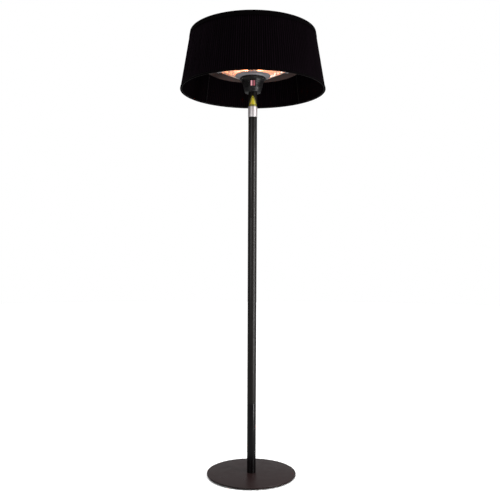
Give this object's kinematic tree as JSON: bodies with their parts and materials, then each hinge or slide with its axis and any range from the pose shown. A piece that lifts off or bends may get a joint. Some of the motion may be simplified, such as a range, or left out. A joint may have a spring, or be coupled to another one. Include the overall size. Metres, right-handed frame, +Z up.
{
  "type": "outdoor heater",
  "caption": "Free-standing electric patio heater shaped as a floor lamp: round base, slim black pole, wire-guarded quartz elements under a hood, wide pleated drum shade.",
  "frame": {"origin": "on the floor, under the middle of the round base plate", "axes": "+Z up along the pole; the switches face -Y; +X is to the right when the heater is seen from its front"},
  "size_m": [0.6601, 0.6602, 2],
  "materials": {
    "base_paint": "satin warm dark-grey powder coat",
    "pole_paint": "semi-gloss black paint",
    "hood_paint": "matt heat-resistant dark grey paint",
    "housing_black": "moulded, lightly textured black",
    "bezel_black": "moulded gloss black",
    "rocker_red": "translucent red, lit from inside",
    "label_yellow": "blank yellow sticker with a thin dark border",
    "brushed_collar": "brushed, with fine turned bands",
    "zinc_steel": "bright zinc plate",
    "guard_wire": "bright plated wire",
    "guard_dish_steel": "satin spun steel",
    "reflector_polished": "polished sheet",
    "quartz_amber": "amber quartz, glowing",
    "filament_glow": "glowing wound wire",
    "ceramic_white": "matt white technical ceramic",
    "brass": "plain",
    "black_rubber": "matt",
    "foot_rubber": "smoky grey, semi-matt",
    "lead_sleeve": "woven glass-fibre sleeve",
    "shade_frame": "black coated wire",
    "shade_black": "fine upright pleats in black pongee",
    "shade_trim": "black woven tape"
  },
  "bodies": {
    "root": {"base_bolts": "zinc_steel", "base_feet": "foot_rubber", "base_plate": "base_paint", "cable_gland": "black_rubber", "central_column": "guard_dish_steel", "central_stud": "zinc_steel", "collar": "brushed_collar", "collar_grub_screw": "zinc_steel", "element_brackets": "zinc_steel", "element_end_caps": "ceramic_white", "element_filaments": "filament_glow", "element_leads": "lead_sleeve", "element_tube_1": "quartz_amber", "element_tube_2": "quartz_amber", "element_tube_3": "quartz_amber", "finial": "pole_paint", "guard_clips": "zinc_steel", "guard_dish": "guard_dish_steel", "guard_ribs": "guard_wire", "guard_rim": "guard_wire", "guard_rings": "guard_wire", "guard_screws": "zinc_steel", "hood": "hood_paint", "housing_cover": "zinc_steel", "housing_screws": "zinc_steel", "internal_flex": "black_rubber", "neck_locknut": "zinc_steel", "neck_tube": "pole_paint", "pole_coupler_lower": "zinc_steel", "pole_coupler_upper": "zinc_steel", "pole_foot_plug": "zinc_steel", "pole_lower": "pole_paint", "pole_middle": "pole_paint", "pole_upper": "pole_paint", "reflector": "reflector_polished", "reflector_spacers": "zinc_steel", "rocker_pin": "zinc_steel", "shade_bottom_band": "shade_trim", "shade_bottom_ring": "shade_frame", "shade_fabric": "shade_black", "shade_struts": "shade_frame", "shade_top_band": "shade_trim", "shade_top_ring": "shade_frame", "spider_arms": "shade_frame", "spider_hub": "shade_frame", "stud_nuts": "zinc_steel", "switch_bezel": "bezel_black", "switch_body": "bezel_black", "switch_housing": "housing_black", "switch_terminals": "brass", "terminal_block": "ceramic_white", "terminal_screws": "brass", "thermal_cutout": "ceramic_white", "tilt_switch_case": "bezel_black", "tilt_switch_pin": "zinc_steel", "triangle_label": "label_yellow"},
    "rocker_left": {"rocker_left": "rocker_red"},
    "rocker_right": {"rocker_right": "rocker_red"},
    "pendulum": {"tilt_switch_pendulum": "brass"}
  },
  "joints": [
    {"name": "rocker_left_tilt", "type": "hinge", "parent": "root", "child": "rocker_left", "pos_m": [0, -0.04131, 1.76483], "axis": [1, 0, 0], "range_deg": [0, 17.26]},
    {"name": "rocker_right_tilt", "type": "hinge", "parent": "root", "child": "rocker_right", "pos_m": [0, -0.04131, 1.76483], "axis": [1, 0, 0], "range_deg": [0, 17.26]},
    {"name": "pendulum_swing", "type": "hinge", "parent": "root", "child": "pendulum", "pos_m": [-0.031, 0, 1.7874], "axis": [1, 0, 0], "range_deg": [-15, 15]}
  ]
}
